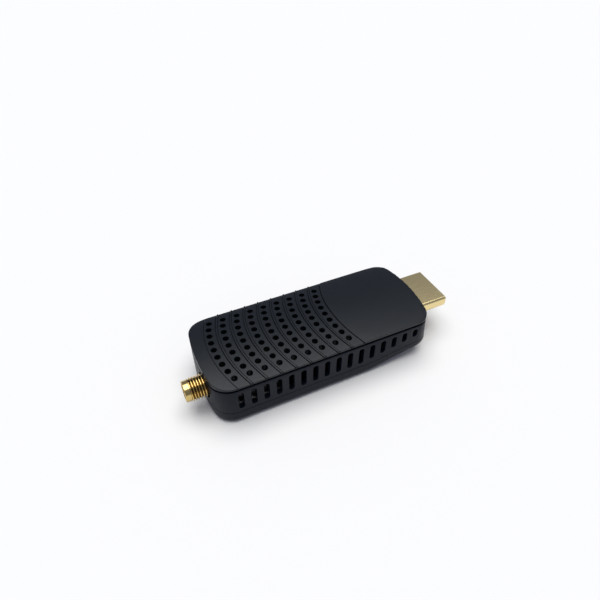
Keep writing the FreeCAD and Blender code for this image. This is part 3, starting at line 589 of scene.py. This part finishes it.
# %% Vent slots
SLOT_COUNT, SLOT_PITCH, FIRST_SLOT = 16, 3.485, 7.28      # the first one's place from the aerial end
SLOT_WIDTH, SLOT_LENGTH, SLOT_TOP = 1.6, 5.95, 11.51
LAST_LONG_SLOT, SHORTER_BY = 10, 0.625
JACK_X, POWER_X = -5.07, 5.43
JACK_ROOM, POWER_ROOM = 3.95, 6.0      # no slot stands nearer to the middle of these sockets

slots_mesh = bmesh.new()
slot_total = 0
for number in range(SLOT_COUNT):
    slot_x = -HALF_LENGTH + FIRST_SLOT + SLOT_PITCH * number
    slot_low = SLOT_TOP - (SLOT_LENGTH - SHORTER_BY * max(0, number - LAST_LONG_SLOT))
    slot_cut(slots_mesh, slot_x, slot_low, SLOT_TOP, SLOT_WIDTH, -1)
    slot_total += 1
    if abs(slot_x - POWER_X) >= POWER_ROOM and abs(slot_x - JACK_X) >= JACK_ROOM:
        slot_cut(slots_mesh, slot_x, slot_low, SLOT_TOP, SLOT_WIDTH, 1)
        slot_total += 1
print("vent slots:", slot_total)

# %% [markdown]
# The plug, the aerial socket, the jack and the power socket come through windows, each a few tenths
# wider than what stands in it, as the real shells need to go together. They could be cut one by one.
# They join the slots in one cutter instead, because each Boolean costs time.

# %% Windows in the band
AERIAL_Y, AERIAL_Z, AERIAL_HOLE = -4.625, 8.47, 3.65
JACK_Z, JACK_HOLE = 6.82, 2.15
PLUG_WALL_X, POWER_WALL_Y = 30, 11     # just inside the walls that the two windows go through
jack_cutter = ((JACK_X, HALF_WIDTH - THROUGH / 2, JACK_Z), JACK_HOLE, (0, THROUGH, 0))

round_cut(slots_mesh, (-HALF_LENGTH - 2, AERIAL_Y, AERIAL_Z), AERIAL_HOLE, (END_THROUGH, 0, 0))
round_cut(slots_mesh, *jack_cutter)
window_cut(slots_mesh, [(PLUG_WALL_X, across, up) for across, up in plug_window],
           (END_THROUGH, 0, 0))
window_cut(slots_mesh, [(POWER_X + across, POWER_WALL_Y, up) for across, up in power_window],
           (0, THROUGH, 0))

with_cut(side_band, slots_mesh)
bevelled(side_band, 0.1, 2)
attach(side_band, "root")
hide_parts("main_shell")
print("side band after the cut:", len(side_band.data.polygons), "faces")

# %% [markdown]
# The tray under the seam is a shallow tub. Its wall meets the side band at the seam, a thinner lip
# stands up behind that joint, and its foot is rounded by 2 mm. It could be a box with a bevel. Here the
# foot is bevelled before the top is opened, so the rounding runs round the whole outline in one go,
# and the whole tub is then squeezed between the underside's line and the seam.

# %% Tray
TRAY_DEPTH = 4.0
FLOOR_DEPTH = 2.5
FOOT_ROUND = 2.0
TRAY_LIP = 0.975
SQUEEZE_GAP = 0.1      # the squeezed part ends this far under the seam

tray_mesh = bmesh.new()
outline_with_cuts(tray_mesh)
lifted(tray_mesh, tray_mesh.faces[:], -TRAY_DEPTH, keep=True)
tray_mesh.normal_update()
foot_edges = [edge for edge in tray_mesh.edges if all(vertex.co.z < -1 for vertex in edge.verts)
              and any(abs(face.normal.z) < 0.1 for face in edge.link_faces)]
bmesh.ops.bevel(tray_mesh, geom=foot_edges, offset=FOOT_ROUND, segments=7, profile=0.5,
                affect="EDGES", material=-1)

tray_top = [face for face in tray_mesh.faces if face.calc_center_median().z > -WELD]
ring = drawn_in(tray_mesh, tray_top)
inside = set(tray_top)
lip_faces = [face for face in tray_mesh.faces if face not in inside and in_lip(face, ring)]
lifted(tray_mesh, tray_top, -FLOOR_DEPTH)
lifted(tray_mesh, lip_faces, TRAY_LIP)
for vertex in tray_mesh.verts:
    seam = seam_height(vertex.co.x)
    if vertex.co.z > -0.1:
        vertex.co.z += seam - HALF_GAP
    else:
        keel = keel_height(vertex.co.x)
        squeeze = min(1.0, (seam - SQUEEZE_GAP - keel) / TRAY_DEPTH)
        vertex.co.z = keel + (vertex.co.z + TRAY_DEPTH) * squeeze
    vertex.co.x += plug_end_lean(vertex.co)
tray = piece_from(tray_mesh, "swept_tray", shell_abs_painted_shade)

jack_mesh = bmesh.new()
round_cut(jack_mesh, *jack_cutter)
with_cut(tray, jack_mesh)
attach(tray, "root")
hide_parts("bottom_cover")
print("tray:", len(tray.data.polygons), "faces")

# %% [markdown]
# The top cover is what the object is known by: nine bands, each on the same arc, with a row of nine
# round holes. The cover could be a plain plate with a bump pattern, but its lines show in outline at
# the rim. So a vertex is spun into the arc, and the arc is pushed along the length again and again,
# each time by the next piece of the bands' profile. A band is flat, a little lower than the smooth
# area, and ends in a fine groove. Behind the groove a narrow strip stands up, and a faint crease
# parts it from the next band.

# %% Profile of the bands
ROWS, ROW_PITCH = 9, 4.07
HOLE_ZONE = 0.95                          # the even faces of a row reach this far on both sides
FACES_ALONG = 6
BAND, GROOVE, STRIP, CREASE = 0.14, 0.75, 0.03, 0.4      # depths below the smooth area

first_row = -HALF_LENGTH + 5.08
profile = [(-36.6, BAND), (first_row - 1.58, BAND), (first_row - 1.53, 0.5),
           (first_row - 1.41, 0.5), (first_row - 1.36, BAND)]
for row in range(ROWS):
    row_x = first_row + ROW_PITCH * row
    for step in range(FACES_ALONG + 1):
        profile.append((row_x - HOLE_ZONE + 2 * HOLE_ZONE * step / FACES_ALONG, BAND))
    edge_x = row_x + 1.78
    profile += [(edge_x, BAND), (edge_x + 0.01, GROOVE), (edge_x + 0.23, GROOVE),
                (edge_x + 0.24, STRIP)]
    if row < ROWS - 1:
        profile += [(edge_x + 0.64, STRIP), (edge_x + 0.70, CREASE), (edge_x + 0.80, CREASE),
                    (edge_x + 0.86, BAND)]
profile.append((edge_x + 0.64, 0.02))
profile += [(x, 0.0) for x in range(11, 37, 2)]
print("profile points:", len(profile))

# %% [markdown]
# The bands are moulded as one plate with the smooth area. It could be drawn straight and bent later.
# Spinning the first line into its arc is simpler, and every line pushed off it then has the same arc,
# as on the real cover. The steps of one degree are small enough that a groove which meets the rim at
# a slant doesn't show as a scallop.

# %% Sheet of bands
ARC_RADIUS = 31.0
ARC_STEPS, ARC_STEP = 53, math.radians(1.0)


def pushed_edges(bm, edges, way):
    """Extrudes edges along a way, and gives the new edges in front."""
    made = bmesh.ops.extrude_edge_only(bm, edges=edges)["geom"]
    moved = verts_of(made)
    bmesh.ops.translate(bm, vec=way, verts=moved)
    ahead = set(moved)
    return [item for item in made
            if isinstance(item, bmesh.types.BMEdge) and set(item.verts) <= ahead]


cover_mesh = bmesh.new()
half_arc = ARC_STEPS * ARC_STEP / 2
at_x, at_drop = profile[0]
first = cover_mesh.verts.new((at_x + ARC_RADIUS * (1 - math.cos(half_arc)),
                              -ARC_RADIUS * math.sin(half_arc), -at_drop))
bmesh.ops.spin(cover_mesh, geom=[first], cent=(at_x + ARC_RADIUS, 0, 0), axis=(0, 0, -1),
               angle=2 * half_arc, steps=ARC_STEPS)
front = cover_mesh.edges[:]
for x, drop in profile[1:]:
    front = pushed_edges(cover_mesh, front, (x - at_x, 0, at_drop - drop))
    at_x, at_drop = x, drop
bmesh.ops.recalc_face_normals(cover_mesh, faces=cover_mesh.faces[:])
print("sheet before the trim:", len(cover_mesh.faces), "faces")

# %% [markdown]
# The sheet is larger than the housing and has to end exactly on its outline. A Boolean could do it,
# but an open sheet is no solid. The outline is convex, so one plane along each of its edges cuts off
# what lies outside, and what is left ends on the same line as the band below.

# %% Sheet trimmed to the outline
outline_mesh = bmesh.new()
outline_face(outline_mesh)
for edge in outline_mesh.edges:
    middle = (edge.verts[0].co + edge.verts[1].co) / 2
    along = edge.verts[1].co - edge.verts[0].co
    outward = Vector((along.y, -along.x, 0)).normalized()
    if outward.dot(middle) < 0:
        outward = -outward
    sliced(cover_mesh, middle, outward, near=0.02, drop_outer=True)
outline_mesh.free()
rim_edges = [edge for edge in cover_mesh.edges if edge.is_boundary]
print("sheet:", len(cover_mesh.faces), "faces, rim edges:", len(rim_edges))

# %% [markdown]
# Nine holes stand in every band, five degrees apart on its arc. They could be drilled with a Boolean,
# but that leaves long thin faces, and a crowned sheet shows each of them. So the sheet was made with
# even faces where the holes go, and every hole takes five by six of them.

# %% Gaps for the holes
COLUMN_DEGREES = 5.0      # from one hole of a row to the next
SIDE_COLUMNS = 4          # holes on each side of the middle one


def band_bow(y):
    """How far the bands' arc lies towards the plug at a distance y from the middle line."""
    return ARC_RADIUS - math.sqrt(ARC_RADIUS ** 2 - y ** 2)


reach_y = ARC_RADIUS * math.sin(math.radians((SIDE_COLUMNS + 0.5) * COLUMN_DEGREES))
gaps = {}
for face in cover_mesh.faces:
    centre = face.calc_center_median()
    if abs(centre.y) > reach_y or abs(face.normal.z) < 0.5:
        continue
    along = centre.x - band_bow(centre.y) - first_row
    row = round(along / ROW_PITCH)
    if 0 <= row < ROWS and abs(along - row * ROW_PITCH) < HOLE_ZONE:
        column = round(math.degrees(math.asin(centre.y / ARC_RADIUS)) / COLUMN_DEGREES)
        gaps.setdefault((row, column), []).append(face)
print("holes:", len(gaps), "faces to take out for each:", {len(faces) for faces in gaps.values()})

# %% [markdown]
# A moulded hole is quite round. A circle with as many vertices as its gap has goes in the middle of
# it, and bridge_loops joins the two, so the faces round a hole stay even and the shading smooth.
# Inset and smoothing could round the gap itself, but never quite. The circle is raised while it is
# joined, so that the two lines don't lie in one plane.

# %% Holes
HOLE_RADIUS = 0.865

for (row, column), faces in gaps.items():
    edges = [edge for face in faces for edge in face.edges]
    border = [edge for edge in edges if edges.count(edge) == 1]
    bmesh.ops.delete(cover_mesh, geom=faces, context="FACES")
    angle = math.radians(COLUMN_DEGREES * column)
    row_x = first_row + ROW_PITCH * row
    centre = (row_x + ARC_RADIUS * (1 - math.cos(angle)), ARC_RADIUS * math.sin(angle), 0)
    circle = bmesh.ops.create_circle(cover_mesh, radius=HOLE_RADIUS, segments=len(border),
                                     matrix=Matrix.Translation(centre))["verts"]
    bmesh.ops.translate(cover_mesh, vec=(0, 0, 0.5), verts=circle)
    inner = list(dict.fromkeys(edge for vertex in circle for edge in vertex.link_edges))
    bmesh.ops.bridge_loops(cover_mesh, edges=border + inner)
    for vertex in circle:
        vertex.co.z = -BAND
print("sheet with its holes:", len(cover_mesh.faces), "faces")

# %% [markdown]
# The real cover is a crowned plate with a thin rim that rests on the band's lip. Solidify could give
# the sheet a thickness, but an even one. So the whole sheet is extruded at once, which gives the rim
# and every hole its wall, and the underside is set to two flat heights. The crown is the last move of
# all: each vertex of the upper side sinks by how far a circle of 81.3 mm falls away there, and a
# little more near the long rims. At the far rim the grooves run out, and the strips end in nubs.

# %% Thickness and crown
TOP_Z = 15.05
CROWN_RADIUS = 81.29
RIM_FALL, RIM_FALL_FROM = 0.008, 10.5     # the extra fall near the long rims
PLATE_UNDERSIDE = 12.6                    # between the lips; over them it is the lip's top
THIN_RIM = 13.3                           # no part of the rim is lower
FAR_RIM, NUB, NUBS_END = 12.6, 0.22, 9.0


def crowned(point):
    """Height of a point of the upper side on the finished crown."""
    sag = CROWN_RADIUS - math.sqrt(CROWN_RADIUS ** 2 - point.y ** 2)
    sag += RIM_FALL * max(0.0, abs(point.y) - RIM_FALL_FROM) ** 2
    height = max(point.z, -GROOVE)
    if point.y > FAR_RIM:
        height = max(point.z, -BAND)
        if point.x < NUBS_END and point.z > -0.05:
            height += NUB
    return max(TOP_Z + height - sag, THIN_RIM)


made = bmesh.ops.extrude_face_region(cover_mesh, geom=cover_mesh.faces[:], use_keep_orig=True)["geom"]
underside = set(verts_of(made))
for vertex in cover_mesh.verts:
    if vertex in underside:
        between_lips = abs(vertex.co.y) < 11.9 and abs(vertex.co.x) < 30.5
        vertex.co.z = PLATE_UNDERSIDE if between_lips else LIP_TOP
    else:
        vertex.co.z = crowned(vertex.co)
bmesh.ops.bevel(cover_mesh, geom=[edge for edge in rim_edges if edge.is_valid], offset=0.15,
                segments=3, profile=0.5, affect="EDGES", material=-1)
# The trim and the bevel leave slivers where a groove meets the rim; they are taken out.
bmesh.ops.dissolve_degenerate(cover_mesh, dist=0.0005, edges=cover_mesh.edges[:])
top_cover = piece_from(cover_mesh, "shingled_top_cover", cover_abs, crisp=32.0)
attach(top_cover, "root")
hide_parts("top_cover")
print("cover:", len(top_cover.data.polygons), "faces")

# %% [markdown]
# A cut thread is plated like the rest of its socket. Its roots are painted a dull brown as painted
# shade, and its crests a pale gold as a painted highlight. The turns could be painted as rings, which
# would then have to follow the helix. The distance from the axis follows it by itself: a Mapping node
# puts the axis at the origin and flattens the length, and what is left of the vector is the radius.

# %% Gold on the thread, with painted shade in the roots and a painted highlight on the crests
AXIS = Vector((0, AERIAL_Y, AERIAL_Z))
ROOT_RADIUS, THREAD_RADIUS = 2.72, 3.175

thread_gold, thread_shader = new_finish("gold_plated_cut_thread", {"Metallic": 1.0, "Roughness": 0.2})
place = add_node(thread_gold, "TexCoord").outputs["Object"]
from_axis = add_node(thread_gold, "Mapping", {"Location": tuple(-AXIS * MM), "Scale": (0, 1, 1)},
                     {"Vector": place})
radius = add_node(thread_gold, "VectorMath", {"operation": "LENGTH"},
                  {0: from_axis.outputs["Vector"]})
# Painted shade in the roots and a painted highlight on the crests, by the distance from the axis.
crest_highlight_root_shade = add_node(thread_gold, "MapRange", {"From Min": ROOT_RADIUS * MM, "From Max": 3.1 * MM},
                {"Value": radius.outputs["Value"]})
tone = add_node(thread_gold, "Mix", {"data_type": "RGBA", 6: linear("#6e4f20"), 7: linear("#dcc07a")},
                {0: crest_highlight_root_shade.outputs["Result"]})
link(thread_gold, tone.outputs[2], thread_shader, "Base Color")
print("thread finish:", thread_gold.name)

# %% [markdown]
# The aerial socket has a thread of 36 turns to the inch. It could be a bump pattern, or rings side by
# side, but its crests show in outline and climb. So one V of the profile, exactly one pitch long, is
# spun along the axis with an advance per step, turn meets turn, and a plane squares off both ends.
# A ring at each end is drawn in to the barrel's radius, and bridging those two closes the sleeve.

# %% Aerial thread
TIP_X = -38.09
PITCH = 25.4 / 36
TURNS, TURN_STEPS = 8, 48
THREAD_FROM_X = TIP_X + 1.6
THREAD_END_X = -HALF_LENGTH + 0.6
THREAD_BORE = 2.3
THREAD_V = ((0.0, 2.73), (0.08, ROOT_RADIUS), (0.37, 3.14), (0.41, THREAD_RADIUS),
            (0.59, THREAD_RADIUS), (0.63, 3.14), (0.92, ROOT_RADIUS), (1.0, 2.73))


def profile_chain(bm, points):
    """A profile of (x, radius) points above the socket's axis: vertices joined in a row."""
    row = [bm.verts.new((x, AXIS.y, AXIS.z + radius)) for x, radius in points]
    return row + [bm.edges.new(pair) for pair in zip(row, row[1:])]


thread_mesh = bmesh.new()
first_turn = THREAD_FROM_X - 1.5 * PITCH
one_turn = profile_chain(thread_mesh, [(first_turn + share * PITCH, radius)
                                       for share, radius in THREAD_V])
bmesh.ops.spin(thread_mesh, geom=one_turn, cent=AXIS, axis=(1, 0, 0),
               dvec=(PITCH / TURN_STEPS, 0, 0), angle=2 * math.pi * TURNS, steps=TURN_STEPS * TURNS)
bmesh.ops.remove_doubles(thread_mesh, verts=thread_mesh.verts[:], dist=0.002)
for plane_x, outward in ((THREAD_FROM_X, -1), (THREAD_END_X, 1)):
    sliced(thread_mesh, (plane_x, 0, 0), (outward, 0, 0), near=0.0005, drop_outer=True)

bore_edges = []
for plane_x in (THREAD_FROM_X, THREAD_END_X):
    end_edges = [edge for edge in thread_mesh.edges if edge.is_boundary
                 and all(abs(vertex.co.x - plane_x) < 0.01 for vertex in edge.verts)]
    drawn = pushed_edges(thread_mesh, end_edges, (0, 0, 0))
    for vertex in {vertex for edge in drawn for vertex in edge.verts}:
        out = Vector((0, vertex.co.y - AXIS.y, vertex.co.z - AXIS.z)).normalized()
        vertex.co = Vector((vertex.co.x, AXIS.y, AXIS.z)) + out * THREAD_BORE
    bore_edges += drawn
bmesh.ops.bridge_loops(thread_mesh, edges=bore_edges)
aerial_thread = piece_from(thread_mesh, "aerial_thread", thread_gold, crisp=50.0)
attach(aerial_thread, "root")
print("thread:", len(aerial_thread.data.polygons), "faces")

# %% [markdown]
# The rest of the socket is turned from brass: a smooth collar at the mouth, the core under the thread
# and the bore for the white insulator. A lathe is the natural model for it, so one closed profile is
# spun once round the axis. Behind it the square flange lies against the housing's wall inside, and
# four square legs reach to the board. Those are blocks, with the small round of milled edges.

# %% Aerial socket's barrel, flange and legs
BORE = 2.05
BARREL_PROFILE = (
    (TIP_X + 1.2, BORE), (TIP_X + 1.2, 2.3), (TIP_X + 0.12, 2.3), (TIP_X, 2.42), (TIP_X, 2.7),
    (TIP_X + 0.15, 2.85), (TIP_X + 1.5, 2.85), (TIP_X + 1.72, 2.6), (THREAD_END_X - 0.1, 2.6),
    (THREAD_END_X + 0.1, 2.8), (-30.5, 2.8), (-30.5, BORE), (TIP_X + 1.2, BORE))


def milled_block(bm, centre, size, rounding):
    """A block with its edges rounded."""
    place = Matrix.Translation(centre) @ Matrix.Diagonal((*size, 1))
    verts = bmesh.ops.create_cube(bm, matrix=place)["verts"]
    edges = list(dict.fromkeys(edge for vertex in verts for edge in vertex.link_edges))
    bmesh.ops.bevel(bm, geom=edges, offset=rounding, segments=2, profile=0.5, affect="EDGES",
                    material=-1)


barrel_mesh = bmesh.new()
bmesh.ops.spin(barrel_mesh, geom=profile_chain(barrel_mesh, BARREL_PROFILE), cent=AXIS,
               axis=(1, 0, 0), angle=2 * math.pi, steps=96, use_merge=True)
bmesh.ops.remove_doubles(barrel_mesh, verts=barrel_mesh.verts[:], dist=WELD)
milled_block(barrel_mesh, (-29.975, AERIAL_Y, AERIAL_Z), (1.5, 6.4, 6.4), 0.15)
for side in (-1, 1):
    for leg_z in (10.32, 8.52):
        milled_block(barrel_mesh, (-27.3, AERIAL_Y + side * 2.6, leg_z), (3.85, 0.8, 0.8), 0.1)
aerial_barrel = piece_from(barrel_mesh, "aerial_socket_barrel", socket_gold, crisp=35.0)
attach(aerial_barrel, "root")
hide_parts("antenna_socket_body")
print("barrel:", len(aerial_barrel.data.polygons), "faces")

# %% [markdown]
# The plug's sleeve is sheet steel 0.3 mm thick, folded round into a tube that narrows at the bottom
# so that it only goes in one way up. A solid with its inside cut out would do, but sheet is easier to
# make as sheet: one face with its six corners rounded gives the outline, its border is pushed along
# the length, and Solidify gives the thickness to the inside. Two short steps at the mouth keep the
# rounding of its edge from shading the flat sides.

# %% Plug sleeve
PLUG_Z = 10.22
SLEEVE_FROM = 24.505
SLEEVE_STEPS = (8.2, 9.3, 0.12, 0.085)
SHEET = 0.3

sleeve_mesh = bmesh.new()
section = [sleeve_mesh.verts.new((SLEEVE_FROM, across, PLUG_Z + up)) for across, up in
           window_corners(6.95, 5.55, top=2.225, shoulder=-0.725, bottom=-2.225)]
bmesh.ops.contextual_create(sleeve_mesh, geom=section)
bmesh.ops.bevel(sleeve_mesh, geom=sleeve_mesh.verts[:], offset=0.85, segments=8, profile=0.5,
                affect="VERTICES", material=-1)
border = sleeve_mesh.edges[:]
bmesh.ops.delete(sleeve_mesh, geom=sleeve_mesh.faces[:], context="FACES_ONLY")
for length in SLEEVE_STEPS:
    border = pushed_edges(sleeve_mesh, border, (length, 0, 0))
sleeve = piece_from(sleeve_mesh, "folded_plug_sleeve", plug_gold)
sheet = sleeve.modifiers.new("sheet", "SOLIDIFY")
sheet.thickness = SHEET * MM
sheet.offset = -1
bevelled(sleeve, 0.08, 3)
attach(sleeve, "root")
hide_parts("hdmi_plug_shell")
print("sleeve:", len(sleeve.data.polygons), "faces")

# %% [markdown]
# The object lies on matt white paper. One flat face is enough for it, large enough that its edge
# never shows, and it has no gloss at all, because paper shows only a soft shadow.

# %% Table
table_mesh = bmesh.new()
bmesh.ops.create_grid(table_mesh, x_segments=1, y_segments=1, size=3.0)
table_data = bpy.data.meshes.new("table")
table_mesh.to_mesh(table_data)
table_mesh.free()
table = placed("table", table_data)
table_paint, _ = new_finish("matt_white_paper", {"Base Color": linear("#f5f4ef"), "Roughness": 0.9,
                                                 "Specular IOR Level": 0.0})
table_data.materials.append(table_paint)
print("table:", table_paint.name)

# %% [markdown]
# The light is that of a small white tent. One very broad lamp hangs almost straight above, so the
# shadow is short and soft all round, and a pale, faintly blue sky fills the sides. Area lamps could
# do it too, but a sun lights the whole table evenly, however wide it spreads.

# %% Light
world = bpy.data.worlds.new("tent")
bpy.context.scene.world = world
world.use_nodes = True
sky = world.node_tree.nodes["Background"]
sky.inputs["Color"].default_value = linear("#dde3ff")
sky.inputs["Strength"].default_value = 0.33

lamp_data = bpy.data.lights.new("lamp_above", "SUN")
lamp_data.energy = 2.62
lamp_data.angle = math.radians(57)
lamp = placed("lamp_above", lamp_data)
lamp.rotation_euler = Vector((0.0, 0.065, 1.0)).to_track_quat("Z", "Y").to_euler()
bpy.context.scene.view_settings.view_transform = "Standard"
print("lamps:", [data.name for data in bpy.data.lights])

# %% [markdown]
# The camera looks down on the near long side, 42 degrees above the table and 15 cm away.
# It could be placed by eye. Its place, turn, lens and slight roll were instead worked out from the
# lines of the housing's and the plug's straight edges in the picture.

# %% Camera
CAMERA_MM = Vector((-44.2163, -89.0621, 111.0253))
TOWARDS_CAMERA = Vector((-0.313740, -0.675206, 0.667581)).normalized()
ROLL = math.radians(-0.2583)

camera_data = bpy.data.cameras.new("camera")
camera_data.lens = 29.769
camera_data.sensor_width = 36.0
camera_data.clip_start = 0.01
camera_data.clip_end = 10.0
camera = placed("camera", camera_data)
level_right = Vector((0, 0, 1)).cross(TOWARDS_CAMERA).normalized()
level_up = TOWARDS_CAMERA.cross(level_right)
right = level_right * math.cos(ROLL) + level_up * math.sin(ROLL)
up = level_up * math.cos(ROLL) - level_right * math.sin(ROLL)
turn = Matrix((right, up, TOWARDS_CAMERA)).transposed().to_4x4()
camera.matrix_world = Matrix.Translation(CAMERA_MM * MM) @ turn
bpy.context.scene.camera = camera
print("camera above the table:", round(math.degrees(math.asin(TOWARDS_CAMERA.z))), "degrees")
